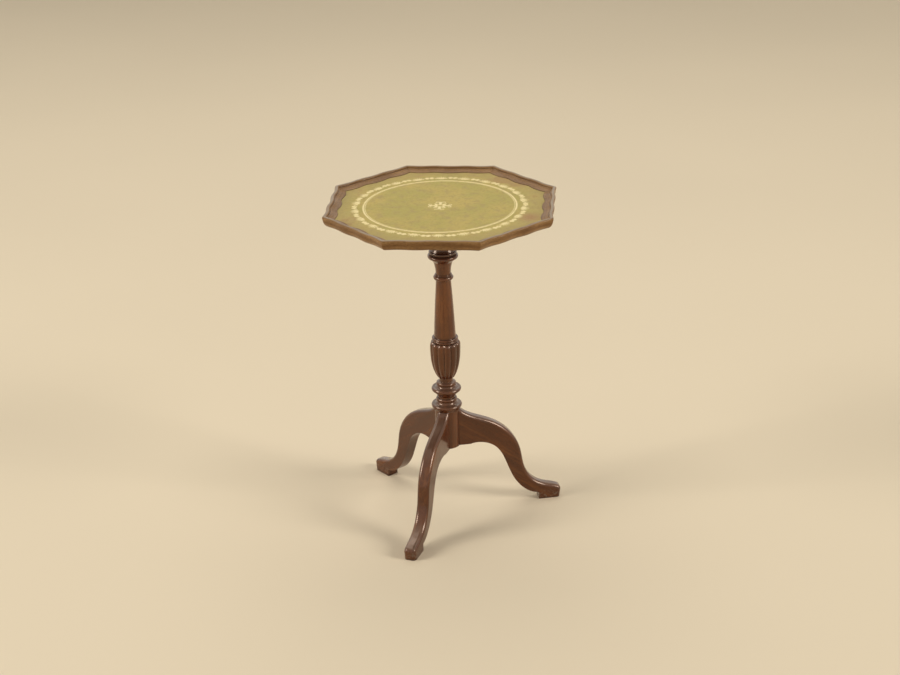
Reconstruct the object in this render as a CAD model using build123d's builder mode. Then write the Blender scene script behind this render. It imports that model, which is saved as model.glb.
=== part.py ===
from build123d import *
import os
from math import cos, radians, sin, sqrt, tan

# An octagonal wine table whose top tips upright, in millimetres with +Z up.
# The origin is on the floor, on the column's axis. The back leg points to +Y.
# The top tips about two pins on a line along X, and its leather then faces -Y.

# The top: a board, a leather lining and a wavy moulded rim
top_height = 555.0  # floor to the crest of the rim
top_across_flats = 364.0  # over the rim, from swell to opposite swell
rim_sides = 8
rim_height = 17.0
rim_width = 17.0  # outer edge to the leather
rim_waves = 3  # dips along each side, between swells at the corners
rim_wave = 1.7  # depth of a dip in the outer edge
rim_cove_wave = 3.4  # depth of a dip in the cove, down to the leather
rim_wall = 9.0  # outer edge to the board's edge, at a dip
rim_bead_width = 6.4
rim_bead_rise = 2.6
rim_quirk = 0.8  # step down from the bead to the cove
rim_quirk_width = 0.3  # flat between the bead and the cove, at a swell
rim_cove_sag = 1.0
rim_lip = 0.6  # inner edge of the cove above the leather
rim_batter = 1.2  # the outer face leans in by this much, down to where it rolls under
rim_roll_width = 6.5  # outer edge to the flat underneath
rim_roll_height = 8.5
board_thickness = 8.5
leather_thickness = 0.8
leather_gap = 0.2  # leather to the rim's inner edge

# The pivot block on the column and the pin line that the top tips about
block_width = 76.0
block_height = 38.0
block_back = 38.0  # column axis to the block's back face
pivot_setback = 24.0  # pin line in front of the column's axis
pivot_drop = 14.0  # pin line below the board
pivot_relief = 2.0  # extra radius that keeps the block's edge inside the board's sweep
stop_gap = 0.2  # the block's front face to the board when it is upright
pin_diameter = 8.0
pin_in_block = 22.0
pin_recess = 0.5  # pin end below the bearer's outer face

# The two bearers under the board
bearer_width = 21.5
bearer_height = 24.0
bearer_length = 230.0
bearer_taper = 30.0
bearer_tip_height = 8.0
bearer_side_gap = 0.5
bearer_screw_spacing = 70.0
bearer_pocket_depth = 8.0

# Fits
glue_gap = 0.05
running_gap = 0.05
slide_gap = 0.1
bolt_gap = 0.4

# The catch: a flat bolt in a brass case, and a keeper plate on the block
bolt_width = 12.0
bolt_thickness = 5.0
bolt_length = 56.0
bolt_drop = 11.0  # middle of the bolt below the board
bolt_bevel = 1.0
nose_gap = 3.0  # drawn bolt to the block's back face
mortise_depth = 10.0
case_width = 37.0
case_length = 46.0
case_thickness = 2.0
case_setback = 1.0  # case behind the drawn bolt's nose
guide_length = 8.0
guide_wall = 3.0
guide_inset = 1.0  # guide to the end of the case
case_corner = 3.0
keeper_width = 37.0
keeper_height = 14.0
keeper_thickness = 1.5
knob_setback = 29.0  # bolt's nose to the knob's middle
knob_spigot_diameter = 4.0
knob_neck_diameter = 5.0
knob_neck_length = 6.0
knob_diameter = 12.0

# Slotted wood screws
bearer_screw_shank = 4.0
bearer_screw_head = 8.0
bearer_screw_length = 22.0
brass_screw_shank = 2.6
brass_screw_head = 5.0
case_screw_length = 7.0
case_screw_inset = 6.0
keeper_screw_length = 14.0
plate_screw_inset = 5.0  # screw middle to the plate's side edge
spider_screw_shank = 3.5
spider_screw_head = 6.6
spider_screw_length = 16.0
screw_tip_radius = 0.4
countersink = 90.0  # full angle of a head's cone
slot_width = 0.9
slot_depth = 0.8

# The column, from the hub up
hub_bottom = 120.0  # clear height under the hub
hub_height = 67.0
hub_radius = 20.8
ring_bead_height = 7.0
ring_bead_sag = 2.8
lower_ring_radius = 25.6
lower_ring_lift = 4.5  # cone from the hub up to the ring's bead
lower_cove_height = 5.0
lower_bead_height = 5.5
lower_bead_radius = 17.6
bead_sag = 1.7
waist_radius = 14.6
waist_height = 3.0
upper_ring_radius = 24.9
upper_ring_lift = 9.1
upper_cove_height = 4.3
upper_bead_height = 5.0
upper_bead_radius = 16.6
cup_neck_radius = 11.4
cup_neck_height = 8.8
cup_radius = 25.4
cup_height = 64.8
cup_belly_height = 47.6  # from the cup's foot to where its side stands upright
cup_curve_height = 57.0  # half height of the ellipse that its side follows
cup_round_height = 7.0  # the reeds' rounded tops
cup_round_width = 4.6
cup_belly_steps = 5  # sections that its side is drawn through, closer together towards the foot
cup_round_steps = 3
reed_count = 12
reed_depth = 2.6
collar_radius = 21.8
collar_sag = 1.4
collar_bead_height = 3.6
collar_gap = 0.7  # flat between the reeds' tops and the collar
shaft_foot_radius = 18.1
shaft_swell = 0.4  # how far the shaft's side bows out
shaft_top_radius = 12.2

# The column, from the block down
shoulder_radius = 21.0
throat_height = 28.0
throat_radius = 17.5
abacus_height = 6.4
abacus_radius = 23.0
abacus_sag = 1.8
torus_height = 7.4
torus_radius = 25.1
torus_sag = 3.2
echinus_height = 5.8
echinus_foot_radius = 16.0
neck_height = 21.8
neck_radius = 12.4
necking_height = 2.2
necking_radius = 14.2
necking_sag = 1.0
astragal_height = 7.4
astragal_radius = 16.5
astragal_sag = 3.4
tenon_radius = 14.0
tenon_recess = 0.5  # tenon's end below the block's top
wedge_length = 22.0
wedge_top = 3.4
wedge_tip = 1.6
wedge_width = 27.0

# The legs, as reach from the column's axis and height above the floor
leg_azimuths = {"leg_back": 90.0, "leg_left": 210.0, "leg_right": 330.0}
leg_thickness = 20.5
leg_round = 6.0  # rounded upper edges, carried down round the toe
leg_root = 6.0  # leg stock inside the hub, before the shoulder is cut
leg_slope = -52.0  # direction of the leg's upper edge at the hub, in degrees
instep_reach = 74.0
instep_fall = 28.5  # below the hub's top
knee_reach = 107.0
knee_fall = 54.0
calf_reach = 123.8
calf_height = 101.0
shin_reach = 130.5
shin_height = 67.0
ankle_reach = 147.0
ankle_height = 39.5
foot_reach = 166.0
foot_height = 28.5
toe_reach = 194.5
toe_top = 21.5  # where the foot's upper edge starts to round over
toe_slope = -22.0  # direction of the foot's upper edge there, in degrees
toe_round = 8.0
toe_turn = 76.0  # how far the rounding turns, in degrees
sole_stock = 8.0  # foot stock below the floor, before the sole is cut
arch_start = 38.0  # end of the flat under the leg, at the hub
arch_crown_reach = 54.0
arch_crown_rise = 1.6
hock_reach = 80.0
hock_fall = 9.0  # below the hub's bottom
back_reach = 98.0
back_height = 81.0
heel_rise_reach = 115.0
heel_rise_height = 42.0
heel_neck_reach = 139.0
heel_neck_height = 18.2
heel_reach = 155.7
heel_height = 12.6
tongue_depth = 8.0
tongue_neck = 9.0
tongue_tail = 13.0
tongue_height = 56.0
tongue_root = 1.0  # tongue's plan inside the leg

# The spider plate under the hub
spider_thickness = 2.0
spider_radius = 17.0
spider_reach = 30.0  # column axis to the arms' screws
spider_arm_width = 13.0

os.makedirs("parts", exist_ok=True)

# Places that follow from the sizes above
underside = top_height - rim_height
board_top = underside + board_thickness
leather_top = board_top + leather_thickness
board_across_flats = top_across_flats - 2 * (rim_wave + rim_wall)
half_corner = 180 / rim_sides
rim_side = top_across_flats * tan(radians(half_corner))
block_bottom = underside - block_height
block_front = pivot_setback + pivot_drop - stop_gap
pivot_z = underside - pivot_drop
bearer_inside = block_width / 2 + bearer_side_gap
bearer_bottom = underside - bearer_height
bearer_middle = bearer_inside + bearer_width / 2
bolt_z = underside - bolt_drop
nose_y = block_back + nose_gap
case_front = nose_y + case_setback
case_middle = case_front + case_length / 2
knob_y = nose_y + knob_setback
hub_top = hub_bottom + hub_height
tenon_top = underside - tenon_recess
mortise_size = (bolt_width + 2 * bolt_gap, bolt_thickness + 2 * bolt_gap)

# Where the screws go: each plane has the head's face at its origin and the point towards -Z
facing_down = dict(x_dir=(1, 0, 0), z_dir=(0, 0, -1))
bearer_screw_places = [
    Plane(
        (side * bearer_middle, row * bearer_screw_spacing, bearer_bottom + bearer_pocket_depth),
        **facing_down,
    )
    for side in (-1, 1)
    for row in (-1, 0, 1)
]
case_screw_places = [
    Plane(
        (
            side * (case_width / 2 - plate_screw_inset),
            case_middle + end * (case_length / 2 - case_screw_inset),
            underside - case_thickness,
        ),
        **facing_down,
    )
    for side in (-1, 1)
    for end in (-1, 1)
]
keeper_screw_places = [
    Plane(
        (side * (keeper_width / 2 - plate_screw_inset), block_back, bolt_z),
        x_dir=(1, 0, 0),
        z_dir=(0, 1, 0),
    )
    for side in (-1, 1)
]
spider_screw_places = [Plane((0, 0, hub_bottom - spider_thickness), **facing_down)] + [
    Plane(
        (
            spider_reach * cos(radians(azimuth)),
            spider_reach * sin(radians(azimuth)),
            hub_bottom - spider_thickness,
        ),
        **facing_down,
    )
    for azimuth in leg_azimuths.values()
]


def finish(builder, name):
    """Label a finished piece and write it."""
    builder.part.label = name
    export_step(builder.part, f"parts/{name}.step")


def wood_screw(shank, head, length):
    """A slotted countersunk screw with its head's face on the local XY plane."""
    sink = (head - shank) / 2 / tan(radians(countersink / 2))
    below = (Align.CENTER, Align.CENTER, Align.MAX)
    Cone(shank / 2, head / 2, sink, align=below)
    with Locations((0, 0, -sink)):
        Cylinder(shank / 2, length - sink - shank, align=below)
    with Locations((0, 0, shank - length)):
        Cone(screw_tip_radius, shank / 2, shank, align=below)
    Box(head, slot_width, slot_depth, align=below, mode=Mode.SUBTRACT)


def screw_group(name, places, shank, head, length):
    """All the screws of one kind, as separate solids in one node."""
    with BuildPart() as screws:
        with Locations(*places):
            wood_screw(shank, head, length)
    finish(screws, name)


def screw_holes(places, shank, length):
    """Blind holes for a group of screws, in the piece that their points hold."""
    with Locations(*places):
        Hole(shank / 2 + glue_gap, depth=length + glue_gap)


def sunk_holes(places, shank, head, depth):
    """Countersunk clearance holes for a group of screws, in the piece that they hold down."""
    with Locations(*places):
        CounterSinkHole(
            shank / 2 + glue_gap,
            head / 2 + glue_gap,
            depth=depth,
            counter_sink_angle=countersink,
        )


def rim_frame(side):
    """The middle of one side of the top, with X along the side and Y towards the column."""
    azimuth = radians(side * 360 / rim_sides - 90)
    return Plane(
        (top_across_flats / 2 * cos(azimuth), top_across_flats / 2 * sin(azimuth), underside),
        x_dir=(-sin(azimuth), cos(azimuth), 0),
        z_dir=(0, 0, 1),
    )


def rim_edge(frame, wave):
    """The wavy line that one side follows: equal arcs, dip and swell by turns, run on past both corners."""
    span = rim_side / rim_waves / 2
    with BuildLine(frame) as edge:
        for arc in range(-rim_waves, rim_waves + 1):
            middle = arc * span
            ThreePointArc(
                (middle - span / 2, wave / 2),
                (middle, wave * ((rim_waves - arc) % 2)),
                (middle + span / 2, wave / 2),
            )
    return edge.wire()


def rim_section(edge):
    """The plane across the start of a rim edge, with X towards the column and Y up."""
    along = edge % 0
    return Plane(edge @ 0, x_dir=Vector(0, 0, 1).cross(along), z_dir=along)


def bead(base, low, crest, high):
    """A round moulding on the column's outline."""
    ThreePointArc((base, low), (crest, (low + high) / 2), (base, high))


def cove(base, low, inner_base, high):
    """A hollow on the column's outline, from a ring in to the bead above it."""
    TangentArc((inner_base, high), (base, low), tangent=(0, -1))


def cup_crest(height):
    """Radius of the reeds' crests at a height above the cup's foot."""
    if height < cup_belly_height:
        return cup_radius * sqrt(1 - ((cup_belly_height - height) / cup_curve_height) ** 2)
    above = max(0.0, height - (cup_height - cup_round_height)) / cup_round_height
    return cup_radius - cup_round_width * (1 - sqrt(max(0.0, 1 - above**2)))


def dovetail(azimuth, gap):
    """Plan of a leg's tongue, grown by a gap for its socket in the hub."""
    direction = radians(azimuth)
    radial = Plane((0, 0, hub_bottom), x_dir=(cos(direction), sin(direction), 0), z_dir=(0, 0, 1))
    with BuildSketch(radial) as tongue:
        with BuildLine():
            Polyline(
                (hub_radius - tongue_depth - gap, tongue_tail / 2 + gap),
                (hub_radius - tongue_depth - gap, -tongue_tail / 2 - gap),
                (hub_radius + tongue_root, -tongue_neck / 2 - gap),
                (hub_radius + tongue_root, tongue_neck / 2 + gap),
                close=True,
            )
        make_face()
    return tongue.sketch


# Column heights, stacked up from the hub and down from the block
lower_ring_low = hub_top + lower_ring_lift
lower_ring_high = lower_ring_low + ring_bead_height
lower_bead_low = lower_ring_high + lower_cove_height
lower_bead_high = lower_bead_low + lower_bead_height
waist_high = lower_bead_high + waist_height
upper_ring_low = waist_high + upper_ring_lift
upper_ring_high = upper_ring_low + ring_bead_height
upper_bead_low = upper_ring_high + upper_cove_height
upper_bead_high = upper_bead_low + upper_bead_height
cup_bottom = upper_bead_high + cup_neck_height
cup_top = cup_bottom + cup_height
collar_low = cup_top + collar_gap
collar_middle = collar_low + collar_bead_height
collar_high = collar_middle + collar_bead_height
abacus_high = block_bottom - throat_height
abacus_low = abacus_high - abacus_height
torus_low = abacus_low - torus_height
echinus_low = torus_low - echinus_height
neck_low = echinus_low - neck_height
necking_low = neck_low - necking_height
astragal_low = necking_low - astragal_height
lower_ring_base = lower_ring_radius - ring_bead_sag
upper_ring_base = upper_ring_radius - ring_bead_sag
lower_bead_base = lower_bead_radius - bead_sag
upper_bead_base = upper_bead_radius - bead_sag
collar_base = collar_radius - collar_sag
abacus_base = abacus_radius - abacus_sag
torus_base = torus_radius - torus_sag
necking_base = necking_radius - necking_sag
astragal_base = astragal_radius - astragal_sag
shaft_middle = ((shaft_foot_radius + shaft_top_radius) / 2 + shaft_swell, (collar_high + astragal_low) / 2)

with BuildPart() as column:
    with BuildSketch(Plane.XZ):
        with BuildLine():
            Polyline(
                (0, hub_bottom),
                (hub_radius, hub_bottom),
                (hub_radius, hub_top),
                (lower_ring_base, lower_ring_low),
            )
            bead(lower_ring_base, lower_ring_low, lower_ring_radius, lower_ring_high)
            cove(lower_ring_base, lower_ring_high, lower_bead_base, lower_bead_low)
            bead(lower_bead_base, lower_bead_low, lower_bead_radius, lower_bead_high)
            Polyline(
                (lower_bead_base, lower_bead_high),
                (waist_radius, lower_bead_high),
                (waist_radius, waist_high),
                (upper_ring_base, upper_ring_low),
            )
            bead(upper_ring_base, upper_ring_low, upper_ring_radius, upper_ring_high)
            cove(upper_ring_base, upper_ring_high, upper_bead_base, upper_bead_low)
            bead(upper_bead_base, upper_bead_low, upper_bead_radius, upper_bead_high)
            Polyline(
                (upper_bead_base, upper_bead_high),
                (cup_neck_radius, upper_bead_high + bead_sag),
                (cup_neck_radius, cup_top),
                (collar_base, cup_top),
                (collar_base, collar_low),
            )
            bead(collar_base, collar_low, collar_radius, collar_middle)
            bead(collar_base, collar_middle, collar_radius, collar_high)
            Line((collar_base, collar_high), (shaft_foot_radius, collar_high))
            ThreePointArc((shaft_foot_radius, collar_high), shaft_middle, (shaft_top_radius, astragal_low))
            Line((shaft_top_radius, astragal_low), (astragal_base, astragal_low))
            bead(astragal_base, astragal_low, astragal_radius, necking_low)
            Line((astragal_base, necking_low), (necking_base, necking_low))
            bead(necking_base, necking_low, necking_radius, neck_low)
            Line((necking_base, neck_low), (neck_radius, neck_low))
            TangentArc((neck_radius, neck_low), (echinus_foot_radius, echinus_low), tangent=(0, 1))
            Line((echinus_foot_radius, echinus_low), (torus_base, torus_low))
            bead(torus_base, torus_low, torus_radius, abacus_low)
            Line((torus_base, abacus_low), (abacus_base, abacus_low))
            bead(abacus_base, abacus_low, abacus_radius, abacus_high)
            ThreePointArc(
                (abacus_base, abacus_high),
                (throat_radius, (abacus_high + block_bottom) / 2),
                (shoulder_radius, block_bottom),
            )
            Polyline(
                (shoulder_radius, block_bottom),
                (tenon_radius, block_bottom),
                (tenon_radius, tenon_top),
                (0, tenon_top),
                (0, hub_bottom),
            )
        make_face()
    revolve(axis=Axis.Z)
    # The reeded cup, drawn through scalloped sections from its foot to the reeds' rounded tops
    belly_shares = [(step / cup_belly_steps) ** 2 for step in range(cup_belly_steps + 1)]
    round_shares = [(1 - step / cup_round_steps) ** 2 for step in range(cup_round_steps + 1)]
    section_heights = [cup_belly_height * share for share in belly_shares]
    section_heights += [cup_height - cup_round_height * share for share in round_shares]
    for height in section_heights:
        crest = cup_crest(height)
        groove = crest * (1 - reed_depth / cup_radius)
        half_reed = 180 / reed_count
        with BuildSketch(Plane.XY.offset(cup_bottom + height)):
            with BuildLine():
                for reed in range(reed_count):
                    middle = reed * 2 * half_reed
                    ThreePointArc(
                        Vector(groove, 0).rotate(Axis.Z, middle - half_reed),
                        Vector(crest, 0).rotate(Axis.Z, middle),
                        Vector(groove, 0).rotate(Axis.Z, middle + half_reed),
                    )
            make_face()
    loft()
    # The dovetail sockets, open at the hub's bottom
    for azimuth in leg_azimuths.values():
        extrude(dovetail(azimuth, glue_gap), amount=tongue_height + glue_gap, mode=Mode.SUBTRACT)
    # The saw cut that the wedge spreads
    with BuildSketch(Plane.YZ):
        with BuildLine():
            Polyline(
                (-wedge_top / 2 - glue_gap, tenon_top),
                (wedge_top / 2 + glue_gap, tenon_top),
                (wedge_tip / 2 + glue_gap, tenon_top - wedge_length - glue_gap),
                (-wedge_tip / 2 - glue_gap, tenon_top - wedge_length - glue_gap),
                close=True,
            )
        make_face()
    extrude(amount=tenon_radius, both=True, mode=Mode.SUBTRACT)
    screw_holes(spider_screw_places[:1], spider_screw_shank, spider_screw_length)
finish(column, "column")

with BuildPart() as tenon_wedge:
    with BuildSketch(Plane.YZ):
        with BuildLine():
            Polyline(
                (-wedge_top / 2, tenon_top),
                (wedge_top / 2, tenon_top),
                (wedge_tip / 2, tenon_top - wedge_length),
                (-wedge_tip / 2, tenon_top - wedge_length),
                close=True,
            )
        make_face()
    extrude(amount=wedge_width / 2, both=True)
finish(tenon_wedge, "tenon_wedge")

leg_heading = (cos(radians(leg_slope)), sin(radians(leg_slope)))
toe_heading = (cos(radians(toe_slope)), sin(radians(toe_slope)))
toe_start = (toe_reach - toe_round * (1 + toe_heading[1]), toe_top)
for name, azimuth in leg_azimuths.items():
    direction = radians(azimuth)
    side_view = Plane(
        (0, 0, 0),
        x_dir=(cos(direction), sin(direction), 0),
        z_dir=(sin(direction), -cos(direction), 0),
    )
    with BuildPart() as leg:
        with BuildSketch(side_view):
            with BuildLine():
                Spline(
                    (hub_radius, hub_top),
                    (instep_reach, hub_top - instep_fall),
                    (knee_reach, hub_top - knee_fall),
                    (calf_reach, calf_height),
                    (shin_reach, shin_height),
                    (ankle_reach, ankle_height),
                    (foot_reach, foot_height),
                    toe_start,
                    tangents=[leg_heading, toe_heading],
                )
                toe = JernArc(toe_start, toe_heading, toe_round, -toe_turn)
                toe_drop = ((toe @ 1).Y + sole_stock) / -(toe % 1).Y
                Polyline(
                    toe @ 1,
                    toe @ 1 + (toe % 1) * toe_drop,
                    (heel_reach, -sole_stock),
                    (heel_reach, heel_height),
                )
                Spline(
                    (heel_reach, heel_height),
                    (heel_neck_reach, heel_neck_height),
                    (heel_rise_reach, heel_rise_height),
                    (back_reach, back_height),
                    (hock_reach, hub_bottom - hock_fall),
                    (arch_crown_reach, hub_bottom + arch_crown_rise),
                    (arch_start, hub_bottom),
                )
                Polyline(
                    (arch_start, hub_bottom),
                    (hub_radius - leg_root, hub_bottom),
                    (hub_radius - leg_root, hub_top),
                    (hub_radius, hub_top),
                )
            make_face()
        extrude(amount=leg_thickness / 2, both=True)
        upper_edges = leg.edges().filter_by(GeomType.BSPLINE).sort_by(SortBy.LENGTH)[-2:]
        fillet(upper_edges, radius=leg_round)
        split(bisect_by=Plane.XY, keep=Keep.TOP)
        with Locations((0, 0, hub_bottom)):
            Cylinder(
                hub_radius + glue_gap,
                hub_height,
                align=(Align.CENTER, Align.CENTER, Align.MIN),
                mode=Mode.SUBTRACT,
            )
        extrude(dovetail(azimuth, 0), amount=tongue_height)
        screw_holes(spider_screw_places[1:], spider_screw_shank, spider_screw_length)
    finish(leg, name)

with BuildPart() as spider_plate:
    with BuildSketch(Plane.XY.offset(hub_bottom - spider_thickness)):
        Circle(spider_radius)
        for azimuth in leg_azimuths.values():
            with Locations(Location((0, 0), azimuth)):
                SlotCenterPoint((spider_reach / 2, 0), (spider_reach, 0), spider_arm_width)
    extrude(amount=spider_thickness)
    sunk_holes(spider_screw_places, spider_screw_shank, spider_screw_head, spider_thickness)
finish(spider_plate, "spider_plate")
screw_group("spider_screws", spider_screw_places, spider_screw_shank, spider_screw_head, spider_screw_length)

with BuildPart() as pivot_block:
    with BuildSketch(Plane.XY.offset(block_bottom)):
        with Locations((0, (block_back - block_front) / 2)):
            Rectangle(block_width, block_front + block_back)
    extrude(amount=block_height)
    front_top_edge = pivot_block.edges().filter_by(Axis.X).group_by(Axis.Z)[-1].sort_by(Axis.Y)[0]
    fillet(front_top_edge, radius=pivot_drop + pivot_relief)
    with Locations((0, 0, underside)):
        Hole(tenon_radius + glue_gap)
    with Locations((0, -pivot_setback, pivot_z)):
        Cylinder(pin_diameter / 2 + glue_gap, block_width, rotation=(0, 90, 0), mode=Mode.SUBTRACT)
    with BuildSketch(Plane((0, block_back, bolt_z), x_dir=(1, 0, 0), z_dir=(0, -1, 0))):
        Rectangle(*mortise_size)
    extrude(amount=mortise_depth, mode=Mode.SUBTRACT)
    with BuildSketch(Plane((0, block_back, bolt_z), x_dir=(1, 0, 0), z_dir=(0, -1, 0))):
        Rectangle(keeper_width + 2 * glue_gap, keeper_height + 2 * glue_gap)
    extrude(amount=keeper_thickness, mode=Mode.SUBTRACT)
    screw_holes(keeper_screw_places, brass_screw_shank, keeper_screw_length)
finish(pivot_block, "pivot_block")

with BuildPart() as keeper_plate:
    with BuildSketch(Plane((0, block_back, bolt_z), x_dir=(1, 0, 0), z_dir=(0, -1, 0))):
        Rectangle(keeper_width, keeper_height)
        Rectangle(*mortise_size, mode=Mode.SUBTRACT)
    extrude(amount=keeper_thickness)
    sunk_holes(keeper_screw_places, brass_screw_shank, brass_screw_head, keeper_thickness)
finish(keeper_plate, "keeper_plate")
screw_group("keeper_screws", keeper_screw_places, brass_screw_shank, brass_screw_head, keeper_screw_length)

for name, side in (("left", -1), ("right", 1)):
    pin_inside = block_width / 2 - pin_in_block
    pin_outside = bearer_inside + bearer_width - pin_recess
    pin_end = Plane((side * pin_inside, -pivot_setback, pivot_z), x_dir=(0, 1, 0), z_dir=(side, 0, 0))
    with BuildPart() as pivot_pin:
        with BuildSketch(pin_end):
            Circle(pin_diameter / 2)
        extrude(amount=pin_outside - pin_inside)
    finish(pivot_pin, f"pivot_pin_{name}")

    with BuildPart() as bearer:
        with BuildSketch(Plane((side * bearer_inside, 0, 0), x_dir=(0, 1, 0), z_dir=(1, 0, 0))):
            with BuildLine():
                Polyline(
                    (-bearer_length / 2, underside),
                    (-bearer_length / 2, underside - bearer_tip_height),
                    (bearer_taper - bearer_length / 2, bearer_bottom),
                    (bearer_length / 2 - bearer_taper, bearer_bottom),
                    (bearer_length / 2, underside - bearer_tip_height),
                    (bearer_length / 2, underside),
                    close=True,
                )
            make_face()
        extrude(amount=side * bearer_width)
        with Locations((side * bearer_middle, -pivot_setback, pivot_z)):
            Cylinder(
                pin_diameter / 2 + running_gap,
                bearer_width,
                rotation=(0, 90, 0),
                mode=Mode.SUBTRACT,
            )
        own_places = [place for place in bearer_screw_places if place.origin.X * side > 0]
        with Locations(*own_places):
            Cylinder(
                bearer_screw_head / 2 + slide_gap,
                bearer_pocket_depth,
                align=(Align.CENTER, Align.CENTER, Align.MIN),
                mode=Mode.SUBTRACT,
            )
        sunk_holes(own_places, bearer_screw_shank, bearer_screw_head, bearer_height)
    finish(bearer, f"bearer_{name}")
screw_group("bearer_screws", bearer_screw_places, bearer_screw_shank, bearer_screw_head, bearer_screw_length)

with BuildPart() as top_panel:
    with BuildSketch(Plane.XY.offset(underside)):
        RegularPolygon(board_across_flats / 2, rim_sides, major_radius=False, rotation=half_corner)
    extrude(amount=board_thickness)
    screw_holes(bearer_screw_places, bearer_screw_shank, bearer_screw_length)
    screw_holes(case_screw_places, brass_screw_shank, case_screw_length)
finish(top_panel, "top_panel")

crown = rim_height - rim_bead_rise
roll_start = (rim_batter, rim_roll_height)
cove_start = (rim_bead_width + rim_quirk_width, crown - rim_quirk)
cove_end = (rim_width, leather_top - underside + rim_lip)
cove_middle = ((cove_start[0] + cove_end[0]) / 2, (cove_start[1] + cove_end[1]) / 2 - rim_cove_sag)
for side in range(rim_sides):
    with BuildPart() as rim_moulding:
        edge = rim_edge(rim_frame(side), rim_wave)
        with BuildSketch(rim_section(edge)):
            with BuildLine():
                TangentArc(roll_start, (rim_roll_width, 0), tangent=(rim_batter, rim_roll_height - crown))
                Line(roll_start, (0, crown))
                ThreePointArc((0, crown), (rim_bead_width / 2, rim_height), (rim_bead_width, crown))
                Polyline(
                    (rim_bead_width, crown),
                    (rim_bead_width, board_thickness),
                    (rim_width, board_thickness),
                    (rim_width, 0),
                    (rim_roll_width, 0),
                )
            make_face()
        sweep(path=edge)
        edge = rim_edge(rim_frame(side), rim_cove_wave)
        with BuildSketch(rim_section(edge)):
            with BuildLine():
                ThreePointArc(cove_start, cove_middle, cove_end)
                Polyline(
                    cove_end,
                    (rim_width, board_thickness),
                    (rim_bead_width / 2, board_thickness),
                    (rim_bead_width / 2, cove_start[1]),
                    cove_start,
                )
            make_face()
        sweep(path=edge)
        with BuildSketch(Plane.XY.offset(underside)):
            RegularPolygon(board_across_flats / 2, rim_sides, major_radius=False, rotation=half_corner)
        extrude(amount=board_thickness, mode=Mode.SUBTRACT)
        for turn in (-1, 1):
            mitre = radians(side * 360 / rim_sides - 90 + turn * half_corner)
            mitre_plane = Plane((0, 0, 0), z_dir=(turn * sin(mitre), -turn * cos(mitre), 0))
            split(bisect_by=mitre_plane, keep=Keep.TOP)
    finish(rim_moulding, f"rim_moulding_{side + 1}")

with BuildPart() as leather_panel:
    with BuildSketch(Plane.XY.offset(board_top)):
        RegularPolygon(board_across_flats / 2, rim_sides, major_radius=False, rotation=half_corner)
    extrude(amount=leather_thickness)
    for side in range(rim_sides):
        edge = rim_edge(rim_frame(side), rim_cove_wave)
        with BuildSketch(rim_section(edge)):
            with Locations((0, board_thickness)):
                Rectangle(rim_width + leather_gap, leather_thickness, align=Align.MIN)
        sweep(path=edge, mode=Mode.SUBTRACT)
finish(leather_panel, "leather_panel")

with BuildPart() as catch_case:
    with BuildSketch(Plane.XY.offset(underside - case_thickness)):
        with Locations((0, case_middle)):
            RectangleRounded(case_width, case_length, case_corner)
    extrude(amount=case_thickness)
    guide_bottom = bolt_z - bolt_thickness / 2 - slide_gap - guide_wall
    guide_offset = case_length / 2 - guide_inset - guide_length / 2
    for end in (-1, 1):
        with Locations((0, case_middle + end * guide_offset, guide_bottom)):
            Box(
                bolt_width + 2 * (slide_gap + guide_wall),
                guide_length,
                underside - case_thickness - guide_bottom,
                align=(Align.CENTER, Align.CENTER, Align.MIN),
            )
    with Locations((0, case_middle, bolt_z)):
        Box(bolt_width + 2 * slide_gap, case_length, bolt_thickness + 2 * slide_gap, mode=Mode.SUBTRACT)
    sunk_holes(case_screw_places, brass_screw_shank, brass_screw_head, case_thickness)
finish(catch_case, "catch_case")
screw_group("catch_screws", case_screw_places, brass_screw_shank, brass_screw_head, case_screw_length)

with BuildPart() as catch_bolt:
    with Locations((0, nose_y + bolt_length / 2, bolt_z)):
        Box(bolt_width, bolt_length, bolt_thickness)
    chamfer(catch_bolt.faces().sort_by(Axis.Y)[0].edges(), length=bolt_bevel)
    with Locations((0, knob_y, bolt_z)):
        Cylinder(knob_spigot_diameter / 2 + glue_gap, bolt_thickness, mode=Mode.SUBTRACT)
finish(catch_bolt, "catch_bolt")

knob_top = bolt_z - bolt_thickness / 2
knob_middle = knob_top - knob_neck_length - knob_diameter / 2
with BuildPart() as catch_knob:
    with BuildSketch(Plane((0, knob_y, 0), x_dir=(1, 0, 0), z_dir=(0, -1, 0))):
        with BuildLine():
            Polyline(
                (0, knob_middle),
                (0, bolt_z + bolt_thickness / 2),
                (knob_spigot_diameter / 2, bolt_z + bolt_thickness / 2),
                (knob_spigot_diameter / 2, knob_top),
                (knob_neck_diameter / 2, knob_top),
                (knob_neck_diameter / 2, knob_middle),
                close=True,
            )
        make_face()
    revolve(axis=Axis((0, knob_y, 0), (0, 0, 1)))
    with Locations((0, knob_y, knob_middle)):
        Sphere(knob_diameter / 2)
finish(catch_knob, "catch_knob")
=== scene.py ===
from math import cos, pi, radians, sin, tau

import bmesh
import bpy
from mathutils import Matrix, Vector


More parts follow.
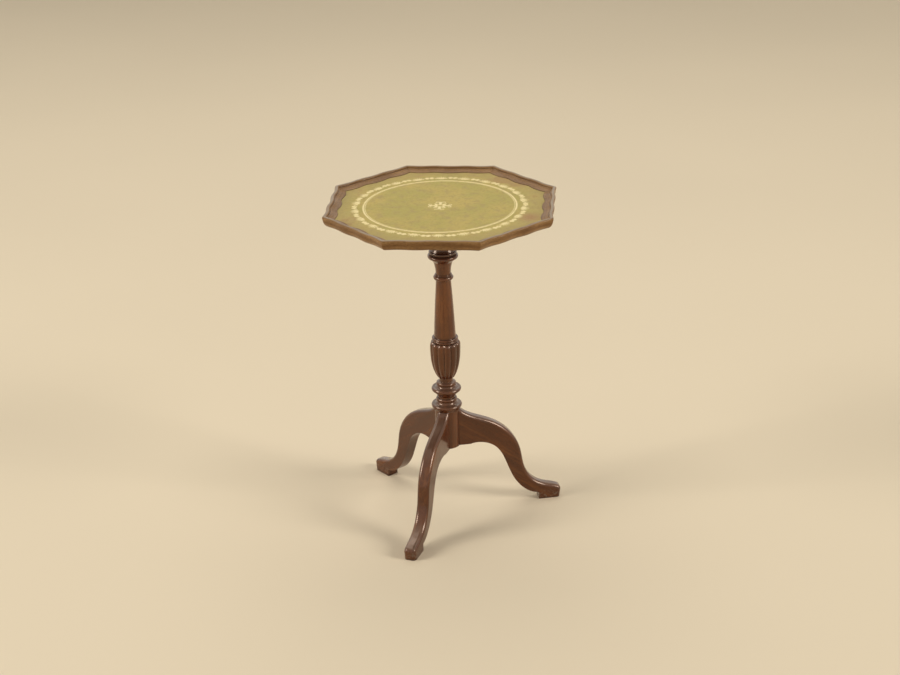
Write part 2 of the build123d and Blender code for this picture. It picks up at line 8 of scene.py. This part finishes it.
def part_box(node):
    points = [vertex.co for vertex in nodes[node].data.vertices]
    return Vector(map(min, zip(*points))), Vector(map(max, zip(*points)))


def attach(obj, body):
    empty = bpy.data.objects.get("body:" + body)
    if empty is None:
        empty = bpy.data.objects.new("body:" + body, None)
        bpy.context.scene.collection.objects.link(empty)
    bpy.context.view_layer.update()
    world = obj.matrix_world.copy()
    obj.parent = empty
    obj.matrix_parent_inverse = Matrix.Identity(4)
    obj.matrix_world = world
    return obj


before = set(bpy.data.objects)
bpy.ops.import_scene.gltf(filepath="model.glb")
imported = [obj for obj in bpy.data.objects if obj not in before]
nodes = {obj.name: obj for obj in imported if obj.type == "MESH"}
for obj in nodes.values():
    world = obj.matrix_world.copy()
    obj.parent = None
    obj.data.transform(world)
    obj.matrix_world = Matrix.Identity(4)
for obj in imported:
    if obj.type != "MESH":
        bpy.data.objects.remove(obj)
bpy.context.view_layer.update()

mm = 0.001
bpy.context.scene.view_settings.view_transform = "Standard"

# The camera, as it was fitted to the photograph
camera_turn = 39.5  # degrees from the part's -Y axis round to the camera, clockwise from above
camera_yaw = 0.17
camera_pitch = 23.73
camera_roll = -1.5
camera_reach = 2.791  # metres from the column's axis
camera_height = 1.543
camera_lens = 73.75

# The gold tooling; its rings and border are set out by their radii from the middle of the top
gold_thickness = 0.06 * mm
gold_sink = 0.02 * mm
gold_layer = 0.008 * mm  # strokes that cross differ in height by this much
gold_layers = 7
ring_outer = 124.5 * mm
ring_width = 2.8 * mm
hairline_gap = 1.0 * mm
hairline_width = 1.1 * mm
band_middle = 137.5 * mm
band_repeats = 22
band_half = pi * band_middle / band_repeats  # half of one repeat, along the circle
band_stretch = 1.18  # how much the border's motif is drawn out towards the rim
tooling_shift = Vector((-1.8 * mm, 1.5 * mm))  # the hand tooling sits a little off the middle

# The wear on the leather, as radii from its middle, and its brown stain
margin_start = 118 * mm  # the hide browns from here
margin_end = 165 * mm
rubbed_start = 122 * mm  # rubbed patches begin here
rubbed_end = 134 * mm
stain_place = (65 * mm, -138 * mm, 547 * mm)
stain_size = 26 * mm

# The wood
rim_sides = 8
leg_grain_fall = 0.75  # how far the legs' grain falls for each unit that it runs outwards
scuff_glint_top = 24 * mm  # the toes are scuffed below this, and paled as a painted highlight
scuff_glint_bottom = 6 * mm
column_shade_height = 464 * mm  # the capital is painted dark above this, as shade under the table top
shade_fade = 6 * mm
rim_sheen_height = 554 * mm  # a painted sheen lies on the rim's crest above this
sheen_fade = 3 * mm

# The room
floor_radius = 5  # metres
lamp_aim = 0.3  # metres above the floor
surround_light = 0.2  # the surround's strength as light; as a thing seen it is 1
shading_samples = 6

# Colours, in linear light
polished_tones = ((0.038, 0.008, 0.002), (0.080, 0.017, 0.003), (0.165, 0.050, 0.010))
faded_tones = ((0.110, 0.046, 0.016), (0.235, 0.122, 0.043), (0.370, 0.215, 0.085))
# the pores' colour, also used for painted shade in grooves and under the top
pore_and_shade_colour = (0.022, 0.006, 0.003)
scuff_glint_colour = (0.200, 0.160, 0.125)
# the colour of the painted sheen on faces that look up
sheen_colour = (0.330, 0.265, 0.195)
leather_olive = (0.515, 0.395, 0.112)
leather_green = (0.440, 0.365, 0.098)
leather_brown = (0.395, 0.292, 0.112)
stain_colour = (0.360, 0.195, 0.085)
dirt_and_shade_colour = (0.230, 0.185, 0.085)
rim_line_colour = (0.070, 0.040, 0.020)
gold_colour = (0.790, 0.655, 0.300)
brass_colour = (0.560, 0.390, 0.140)
tarnish_colour = (0.140, 0.085, 0.035)
iron_colour = (0.060, 0.055, 0.052)
rust_colour = (0.120, 0.055, 0.028)
ash_colour = (0.460, 0.310, 0.165)
floor_colour = (0.850, 0.725, 0.530)
light_colour = (1.0, 0.97, 0.92)
surround_colour = (0.950, 0.910, 0.840)


class Graph:
    """A new material's nodes, with short calls to add them and join them."""

    def __init__(self, name):
        self.material = bpy.data.materials.new(name)
        self.material.use_nodes = True
        self.tree = self.material.node_tree
        self.shader = self.tree.nodes["Principled BSDF"]
        coordinates = self.add("TexCoord").outputs
        self.place = coordinates["Object"]
        self.facing = coordinates["Normal"]

    def put(self, socket, value):
        """Join a socket to another, or set its value."""
        if isinstance(value, bpy.types.NodeSocket):
            self.tree.links.new(value, socket)
        elif isinstance(value, tuple) and len(value) == 3 and socket.type == "RGBA":
            socket.default_value = (*value, 1.0)
        else:
            socket.default_value = value

    def add(self, kind, values=None, **options):
        """A node of one kind, with its options and its input values."""
        node = self.tree.nodes.new("ShaderNode" + kind)
        for name, value in options.items():
            setattr(node, name, value)
        for name, value in (values or {}).items():
            self.put(node.inputs[name], value)
        return node

    def stretch(self, place, scale):
        """Coordinates multiplied along each axis."""
        return self.add("Mapping", {"Vector": place, "Scale": scale}).outputs[0]

    def noise(self, place, scale=1.0, detail=3.0, roughness=0.5, distortion=0.0):
        """A cloudy value between 0 and 1."""
        values = {"Vector": place, "Scale": scale, "Detail": detail}
        values |= {"Roughness": roughness, "Distortion": distortion}
        return self.add("TexNoise", values).outputs["Fac"]

    def math(self, operation, first, second=0.0):
        """Two values joined by one operation."""
        node = self.add("Math", operation=operation)
        self.put(node.inputs[0], first)
        self.put(node.inputs[1], second)
        return node.outputs[0]

    def span(self, value, low, high, to_low=0.0, to_high=1.0):
        """A value carried from one range to another, and held at its ends."""
        values = {"Value": value, "From Min": low, "From Max": high}
        values |= {"To Min": to_low, "To Max": to_high}
        return self.add("MapRange", values, interpolation_type="SMOOTHSTEP").outputs[0]

    def mix(self, share, first, second):
        """Two colours mixed by a share."""
        node = self.add("Mix", data_type="RGBA")
        self.put(node.inputs[0], share)
        self.put(node.inputs[6], first)
        self.put(node.inputs[7], second)
        return node.outputs[2]

    def ramp(self, value, stops):
        """A colour that follows a value through several stops."""
        node = self.add("ValToRGB", {"Fac": value})
        elements = node.color_ramp.elements
        for index, (position, colour) in enumerate(stops):
            element = elements[index] if index < 2 else elements.new(position)
            element.position = position
            element.color = (*colour, 1.0)
        return node.outputs["Color"]

    def bump(self, height, depth, normal=None):
        """A normal that follows a height of the given depth in metres."""
        values = {"Height": height, "Distance": depth, "Strength": 1.0}
        if normal is not None:
            values["Normal"] = normal
        return self.add("Bump", values).outputs["Normal"]

    def corners(self, radius):
        """A normal that rounds sharp edges over, and how near to such an edge a point is."""
        rounded = self.add("Bevel", {"Radius": radius}, samples=shading_samples).outputs["Normal"]
        flat = self.add("NewGeometry").outputs["Normal"]
        agree = self.add("VectorMath", operation="DOT_PRODUCT")
        self.put(agree.inputs[0], rounded)
        self.put(agree.inputs[1], flat)
        return rounded, self.span(agree.outputs["Value"], 0.995, 0.90)

    def crevice(self, distance):
        """How closed in a point is by what stands within a distance of it."""
        occlusion = self.add("AmbientOcclusion", {"Distance": distance}, samples=shading_samples)
        return self.span(occlusion.outputs["AO"], 0.92, 0.40)

    def finish(self, **values):
        """Set the shader's inputs, with spaces in their names as underscores."""
        for name, value in values.items():
            self.put(self.shader.inputs[name.replace("_", " ")], value)
        return self.material


def mahogany(name, along, tones=polished_tones, polish=1.0, shade_above=1.0, sheen_share=0.3, sheen_above=0.0):
    """Old polished mahogany in three tones with its grain along one direction.

    It is darkened above one height as painted shade under the table top, and what faces up above another
    height carries a painted sheen.
    """
    dark, middle, pale = tones
    graph = Graph(name)
    turn = Vector(along).rotation_difference(Vector((1, 0, 0))).to_euler()
    grain = graph.add("Mapping", {"Vector": graph.place, "Rotation": turn}).outputs[0]
    streaks = graph.noise(graph.stretch(grain, (9, 130, 130)), detail=6, roughness=0.62, distortion=0.5)
    figure = graph.noise(graph.stretch(grain, (4, 26, 26)), detail=3, distortion=0.8)
    pores = graph.noise(graph.stretch(grain, (160, 2400, 2400)), detail=1)
    patina = graph.noise(graph.place, scale=17, detail=3)
    shade = graph.math("ADD", graph.math("MULTIPLY", streaks, 0.55), graph.math("MULTIPLY", figure, 0.45))
    colour = graph.ramp(shade, [(0.33, dark), (0.66, pale), (0.50, middle)])
    colour = graph.mix(graph.span(pores, 0.44, 0.34, 0.0, 0.55), colour, pore_and_shade_colour)
    colour = graph.mix(graph.span(patina, 0.40, 0.72, 0.0, 0.45), colour, dark)
    rounded, edge = graph.corners(0.45 * mm)
    crevice = graph.crevice(7.0 * mm)
    worn = graph.math("MULTIPLY", edge, graph.span(patina, 0.35, 0.65, 0.1, 0.5))
    colour = graph.mix(worn, colour, pale)
    # Scuffs on the toes, paled also as a painted highlight
    scuff_glint = graph.noise(graph.place, scale=240, detail=4, roughness=0.65)
    height = graph.add("SeparateXYZ", {"Vector": graph.place}).outputs["Z"]
    low_down = graph.span(height, scuff_glint_top, scuff_glint_bottom, 0.0, 0.5)
    scuff_glint = graph.math("MULTIPLY", graph.span(scuff_glint, 0.48, 0.66), low_down)
    colour = graph.mix(scuff_glint, colour, scuff_glint_colour)
    # Painted sheen: what faces up is lightened in patches, standing in for the reflection of a bright room
    upward = graph.add("SeparateXYZ", {"Vector": graph.facing}).outputs["Z"]
    sheen_patches = graph.span(patina, 0.35, 0.65, sheen_share, sheen_share / 2)
    upward_sheen = graph.math("MULTIPLY", graph.span(upward, 0.60, 0.95), sheen_patches)
    painted_sheen = graph.math("MULTIPLY", upward_sheen, graph.span(height, sheen_above - sheen_fade, sheen_above))
    colour = graph.mix(painted_sheen, colour, sheen_colour)
    # Painted shade in grooves and joints, with old wax gathered there: darkened towards the pore colour
    colour = graph.mix(graph.math("MULTIPLY", crevice, 0.9), colour, pore_and_shade_colour)
    # Painted shade under the table top: darker above a height
    under_top_shade = graph.span(height, shade_above, shade_above + shade_fade, 0.0, 0.75)
    colour = graph.mix(under_top_shade, colour, pore_and_shade_colour)
    wobble = graph.noise(graph.place, scale=55, detail=1)
    normal = graph.bump(wobble, 0.25 * mm, rounded)
    normal = graph.bump(streaks, 0.05 * mm, normal)
    smooth = 0.17 + 0.3 * (1 - polish)
    roughness = graph.span(graph.noise(graph.place, scale=38, detail=4), 0.3, 0.7, smooth, smooth + 0.10)
    return graph.finish(
        Base_Color=colour,
        Roughness=roughness,
        Normal=normal,
        Specular_IOR_Level=0.7 * polish,
        Specular_Tint=(1.0, 0.7, 0.5),
        Coat_Weight=0.3 * polish,
        Coat_Roughness=0.1,
    )


def leather():
    """Olive hide with a fine grain, mottled, worn browner towards its edge, and one old stain."""
    graph = Graph("leather")
    cloud = graph.noise(graph.place, scale=16, detail=5, roughness=0.6)
    mottle = graph.noise(graph.place, scale=55, detail=4, roughness=0.65)
    fine = graph.noise(graph.place, scale=260, detail=3, roughness=0.6)
    colour = graph.mix(graph.span(cloud, 0.38, 0.62), leather_green, leather_olive)
    colour = graph.mix(graph.span(mottle, 0.46, 0.70, 0.0, 0.7), colour, leather_brown)
    colour = graph.mix(graph.span(fine, 0.52, 0.70, 0.0, 0.7), colour, leather_brown)
    flat = graph.stretch(graph.place, (1, 1, 0))
    reach = graph.add("VectorMath", {"Vector": flat}, operation="LENGTH").outputs["Value"]
    margin = graph.span(reach, margin_start, margin_end)
    colour = graph.mix(graph.math("MULTIPLY", margin, 0.5), colour, leather_brown)
    outer = graph.span(reach, rubbed_start, rubbed_end)
    rubbed = graph.math("MULTIPLY", outer, graph.span(cloud, 0.56, 0.70))
    colour = graph.mix(graph.math("MULTIPLY", rubbed, 0.5), colour, stain_colour)
    from_stain = graph.add("VectorMath", {"Vector": graph.place}, operation="DISTANCE")
    graph.put(from_stain.inputs[1], stain_place)
    ragged = graph.math("ADD", cloud, graph.math("MULTIPLY", mottle, 0.6))
    spread = graph.math("ADD", from_stain.outputs["Value"], graph.math("MULTIPLY", ragged, stain_size))
    colour = graph.mix(graph.span(spread, 1.9 * stain_size, 0.9 * stain_size, 0.0, 0.8), colour, stain_colour)
    # Mottled soiling and painted shade, darker within 14 mm of the rim
    dirt_and_shade = graph.math("MULTIPLY", graph.crevice(14 * mm), graph.span(mottle, 0.30, 0.62, 0.2, 0.8))
    colour = graph.mix(dirt_and_shade, colour, dirt_and_shade_colour)
    # A thin dark line where the hide meets the rim
    colour = graph.mix(graph.math("MULTIPLY", graph.crevice(3.5 * mm), 0.8), colour, rim_line_colour)
    grain = graph.add(
        "TexVoronoi",
        {"Vector": graph.place, "Scale": 850.0, "Smoothness": 0.6},
        feature="SMOOTH_F1",
    ).outputs["Distance"]
    normal = graph.bump(grain, 0.12 * mm)
    normal = graph.bump(cloud, 0.6 * mm, normal)
    roughness = graph.span(fine, 0.3, 0.7, 0.48, 0.62)
    return graph.finish(Base_Color=colour, Roughness=roughness, Normal=normal, Specular_IOR_Level=0.2)


def gold():
    """Gold leaf pressed into hide, rubbed thin in places."""
    graph = Graph("gold_leaf")
    rub = graph.noise(graph.place, scale=210, detail=4, roughness=0.65)
    thin = graph.span(rub, 0.52, 0.70, 0.0, 0.8)
    colour = graph.mix(thin, gold_colour, leather_olive)
    metal = graph.span(thin, 0.0, 0.8, 0.3, 0.0)
    roughness = graph.span(rub, 0.3, 0.7, 0.34, 0.52)
    return graph.finish(Base_Color=colour, Metallic=metal, Roughness=roughness)


def old_metal(name, clean, aged, shine):
    """Handled metal, dull in its corners and bright on its edges."""
    graph = Graph(name)
    spots = graph.noise(graph.place, scale=260, detail=5, roughness=0.65)
    rounded, edge = graph.corners(0.35 * mm)
    age = graph.math("MAXIMUM", graph.span(spots, 0.48, 0.70, 0.0, 0.75), graph.crevice(3.0 * mm))
    age = graph.math("MULTIPLY", age, graph.span(edge, 0.0, 1.0, 1.0, 0.3))
    colour = graph.mix(age, clean, aged)
    roughness = graph.span(age, 0.0, 1.0, shine, shine + 0.3)
    normal = graph.bump(spots, 0.04 * mm, rounded)
    return graph.finish(Base_Color=colour, Metallic=1.0, Roughness=roughness, Normal=normal)


def plain_wood(name, along, colour, shade):
    """Bare hardwood with its grain along one direction."""
    graph = Graph(name)
    turn = Vector(along).rotation_difference(Vector((1, 0, 0))).to_euler()
    grain = graph.add("Mapping", {"Vector": graph.place, "Rotation": turn}).outputs[0]
    streaks = graph.noise(graph.stretch(grain, (25, 500, 500)), detail=5, roughness=0.6)
    mixed = graph.mix(graph.span(streaks, 0.3, 0.7), colour, tuple(shade * part for part in colour))
    return graph.finish(Base_Color=mixed, Roughness=0.6, Normal=graph.bump(streaks, 0.08 * mm))


def dress(name, material):
    """Give a CAD node its finish."""
    for slot in nodes[name].material_slots:
        slot.material = material


def dress_all():
    """Every CAD node's finish, with the grain of each wooden piece along its length."""
    dress("column", mahogany("mahogany_column", (0, 0, 1), shade_above=column_shade_height))
    across = mahogany("mahogany_across", (1, 0, 0))
    dress("pivot_block", across)
    dress("top_panel", across)
    lengthways = mahogany("mahogany_lengthways", (0, 1, 0))
    dress("bearer_left", lengthways)
    dress("bearer_right", lengthways)
    for name in ("leg_back", "leg_left", "leg_right"):
        low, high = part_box(name)
        outward = (low + high) / 2
        outward.z = 0
        fall = Vector((0, 0, -leg_grain_fall))
        dress(name, mahogany("mahogany_" + name, outward.normalized() + fall))
    for side in range(rim_sides):
        azimuth = tau * side / rim_sides
        along = (cos(azimuth), sin(azimuth), 0)
        wood = mahogany(
            f"mahogany_rim_{side + 1}",
            along,
            tones=faded_tones,
            polish=0.35,
            sheen_share=0.9,
            sheen_above=rim_sheen_height,
        )
        dress(f"rim_moulding_{side + 1}", wood)
    dress("leather_panel", leather())
    dress("tenon_wedge", plain_wood("ash", (0, 0, 1), ash_colour, 0.6))
    brass = old_metal("old_brass", brass_colour, tarnish_colour, 0.24)
    for name in ("catch_case", "catch_bolt", "catch_knob", "catch_screws", "keeper_plate", "keeper_screws"):
        dress(name, brass)
    iron = old_metal("old_iron", iron_colour, rust_colour, 0.42)
    for name in ("spider_plate", "spider_screws", "bearer_screws", "pivot_pin_left", "pivot_pin_right"):
        dress(name, iron)


class Tooling:
    """Thin gold strokes, laid flat on the leather."""

    def __init__(self):
        self.mesh = bmesh.new()
        self.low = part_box("leather_panel")[1].z - gold_sink
        self.count = 0

    def stroke(self, points, widths, closed=False):
        """A flat ribbon along points, as a thin closed solid."""
        count = len(points)
        self.count += 1
        high = self.low + gold_thickness + gold_layer * (self.count % gold_layers)
        rows = []
        for index, point in enumerate(points):
            before = points[index - 1] if index or closed else point
            after = points[(index + 1) % count] if index + 1 < count or closed else point
            along = (after - before).normalized()
            side = Vector((-along.y, along.x)) * widths[index] / 2
            left = point + tooling_shift + side
            right = point + tooling_shift - side
            corners = [(right, self.low), (left, self.low), (left, high), (right, high)]
            rows.append([self.mesh.verts.new((flat.x, flat.y, level)) for flat, level in corners])
        for index in range(count if closed else count - 1):
            row = rows[index]
            following = rows[(index + 1) % count]
            for corner in range(4):
                neighbour = (corner + 1) % 4
                self.mesh.faces.new((row[corner], following[corner], following[neighbour], row[neighbour]))
        if not closed:
            self.mesh.faces.new(rows[0])
            self.mesh.faces.new(reversed(rows[-1]))

    def ring(self, radius, width):
        """A full circle round the middle of the top."""
        steps = 240
        angles = [tau * step / steps for step in range(steps)]
        points = [Vector((cos(angle), sin(angle))) * radius for angle in angles]
        self.stroke(points, [width] * steps, closed=True)

    def leaf(self, place, start, heading, length, width, bend):
        """A pointed leaf that curves as it grows."""
        steps = 9
        points = [Vector(start)]
        for step in range(steps):
            direction = heading + bend * (step + 0.5) / steps
            points.append(points[-1] + Vector((cos(direction), sin(direction))) * length / steps)
        widths = [0.25 * mm + width * sin(pi * (step / steps) ** 0.8) for step in range(steps + 1)]
        self.stroke([place(point) for point in points], widths)

    def scroll(self, place, middle, start, turn, radius, width):
        """A line that curls in towards a middle."""
        steps = 18
        points = []
        for step in range(steps + 1):
            share = step / steps
            angle = start + turn * share
            points.append(Vector(middle) + Vector((cos(angle), sin(angle))) * radius * (1 - 0.82 * share))
        swells = [sin(pi * min(1.0, 0.25 + step / steps)) for step in range(steps + 1)]
        widths = [width * (0.45 + 0.55 * swell) for swell in swells]
        self.stroke([place(point) for point in points], widths)

    def object(self, name):
        """All the strokes as one piece of the scene."""
        mesh = bpy.data.meshes.new(name)
        bmesh.ops.recalc_face_normals(self.mesh, faces=self.mesh.faces)
        self.mesh.to_mesh(mesh)
        self.mesh.free()
        made = bpy.data.objects.new(name, mesh)
        bpy.context.scene.collection.objects.link(made)
        return made


def band_place(repeat):
    """Carries a point of the border's motif to its place: X along the circle, Y outwards."""

    def place(point):
        angle = tau * repeat / band_repeats + point.x / band_middle
        return Vector((cos(angle), sin(angle))) * (band_middle + band_stretch * point.y)

    return place


def turned(angle):
    """Carries a point of the middle motif round by an angle."""

    def place(point):
        along = Vector((cos(angle), sin(angle)))
        across = Vector((-sin(angle), cos(angle)))
        return point.x * along + point.y * across

    return place


def tool_border(tooling):
    """The running border: a fan of standing leaves between two scrolls, then a long lozenge of leaves."""
    for repeat in range(band_repeats):
        place = band_place(repeat)
        for blade in range(-2, 3):
            start = (blade * 1.5 * mm, -6.2 * mm)
            length = (12.6 - 0.9 * abs(blade)) * mm
            heading = pi / 2 - blade * 0.20
            tooling.leaf(place, start, heading, length, width=2.4 * mm, bend=-blade * 0.06)
        for side in (-1, 1):
            middle = (side * 7.8 * mm, -2.6 * mm)
            turn = -side * 1.2 * tau
            tooling.scroll(place, middle, start=pi / 2, turn=turn, radius=2.2 * mm, width=1.5 * mm)
            for tilt in (-1, 0, 1):
                start = (band_half + side * 0.3 * mm, 0)
                length = (8.8 if tilt == 0 else 7.0) * mm
                width = (6.2 if tilt == 0 else 3.4) * mm
                heading = pi / 2 - side * pi / 2 + tilt * 0.75
                tooling.leaf(place, start, heading, length, width, bend=-tilt * 0.5)


def tool_middle(tooling):
    """The small flower in the middle of the top: four leaves with a curl on each side."""
    for quarter in range(4):
        place = turned(radians(45 + 90 * quarter))
        tooling.leaf(place, (2.0 * mm, 0), heading=0, length=17.0 * mm, width=4.4 * mm, bend=0)
        for side in (-1, 1):
            foot = (4.0 * mm, side * 1.5 * mm)
            tooling.leaf(place, foot, side * 0.75, length=11.0 * mm, width=3.2 * mm, bend=side * 0.7)
            middle = (15.5 * mm, side * 5.4 * mm)
            turn = side * 1.3 * tau
            tooling.scroll(place, middle, start=-side * 2.4, turn=turn, radius=3.8 * mm, width=1.5 * mm)


def gild():
    """The gold tooling on the leather."""
    tooling = Tooling()
    tooling.ring(ring_outer - ring_width / 2, ring_width)
    tooling.ring(ring_outer - ring_width - hairline_gap - hairline_width / 2, hairline_width)
    tool_border(tooling)
    tool_middle(tooling)
    piece = tooling.object("gold_tooling")
    piece.data.materials.append(gold())
    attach(piece, "top")


def lay_floor():
    """A plain pale floor."""
    graph = Graph("pale_floor")
    drift = graph.noise(graph.place, scale=0.8, detail=2)
    shade = graph.mix(graph.span(drift, 0.3, 0.7), floor_colour, tuple(0.97 * part for part in floor_colour))
    material = graph.finish(Base_Color=shade, Roughness=0.75, Specular_IOR_Level=0.2)
    bpy.ops.mesh.primitive_circle_add(vertices=96, radius=floor_radius, fill_type="NGON", location=(0, 0, 0))
    floor = bpy.context.object
    floor.name = "floor"
    floor.data.materials.append(material)


def around(turn, elevation, reach):
    """A point round the table, with the camera's own direction at turn 0 and its right hand positive."""
    azimuth = radians(-90 - camera_turn + turn)
    flat = reach * cos(radians(elevation))
    return Vector((flat * cos(azimuth), flat * sin(azimuth), lamp_aim + reach * sin(radians(elevation))))


def softbox(name, turn, elevation, reach, width, height, watts):
    """A rectangular lamp that faces the table."""
    lamp = bpy.data.lights.new(name, "AREA")
    lamp.shape = "RECTANGLE"
    lamp.size = width
    lamp.size_y = height
    lamp.energy = watts
    lamp.color = light_colour
    holder = bpy.data.objects.new(name, lamp)
    holder.location = around(turn, elevation, reach)
    aim = Vector((0, 0, lamp_aim)) - holder.location
    holder.rotation_euler = aim.to_track_quat("-Z", "Y").to_euler()
    holder.visible_camera = False
    bpy.context.scene.collection.objects.link(holder)


def light():
    """A tall soft lamp on each side, one overhead, and a surround that is seen pale but lights little."""
    softbox("lamp_left", turn=-75, elevation=26, reach=7.0, width=2.4, height=3.0, watts=290)
    softbox("lamp_right", turn=66, elevation=26, reach=7.0, width=2.4, height=3.0, watts=270)
    softbox("lamp_above", turn=180, elevation=62, reach=4.0, width=4.0, height=3.0, watts=54)
    world = bpy.data.worlds.new("surround")
    world.use_nodes = True
    tree = world.node_tree
    background = tree.nodes["Background"]
    background.inputs["Color"].default_value = (*surround_colour, 1.0)
    ray = tree.nodes.new("ShaderNodeLightPath").outputs
    seen = ray["Is Camera Ray"]
    for kind in ("Is Glossy Ray", "Is Transmission Ray"):
        either = tree.nodes.new("ShaderNodeMath")
        either.operation = "MAXIMUM"
        tree.links.new(seen, either.inputs[0])
        tree.links.new(ray[kind], either.inputs[1])
        seen = either.outputs[0]
    strength = tree.nodes.new("ShaderNodeMapRange")
    tree.links.new(seen, strength.inputs["Value"])
    strength.inputs["To Min"].default_value = surround_light
    tree.links.new(strength.outputs[0], background.inputs["Strength"])
    bpy.context.scene.world = world


def stand_camera():
    """The photograph's viewpoint."""
    lens = bpy.data.cameras.new("camera")
    lens.lens = camera_lens
    lens.clip_end = 100
    camera = bpy.data.objects.new("camera", lens)
    turn = radians(camera_turn)
    stand = Matrix.Translation((-camera_reach * sin(turn), -camera_reach * cos(turn), camera_height))
    heading = Matrix.Rotation(-radians(camera_turn + camera_yaw), 4, "Z")
    tilt = Matrix.Rotation(radians(90 - camera_pitch), 4, "X")
    roll = Matrix.Rotation(radians(camera_roll), 4, "Z")
    camera.matrix_world = stand @ heading @ tilt @ roll
    bpy.context.scene.collection.objects.link(camera)
    bpy.context.scene.camera = camera


stand_camera()
light()
lay_floor()
dress_all()
gild()
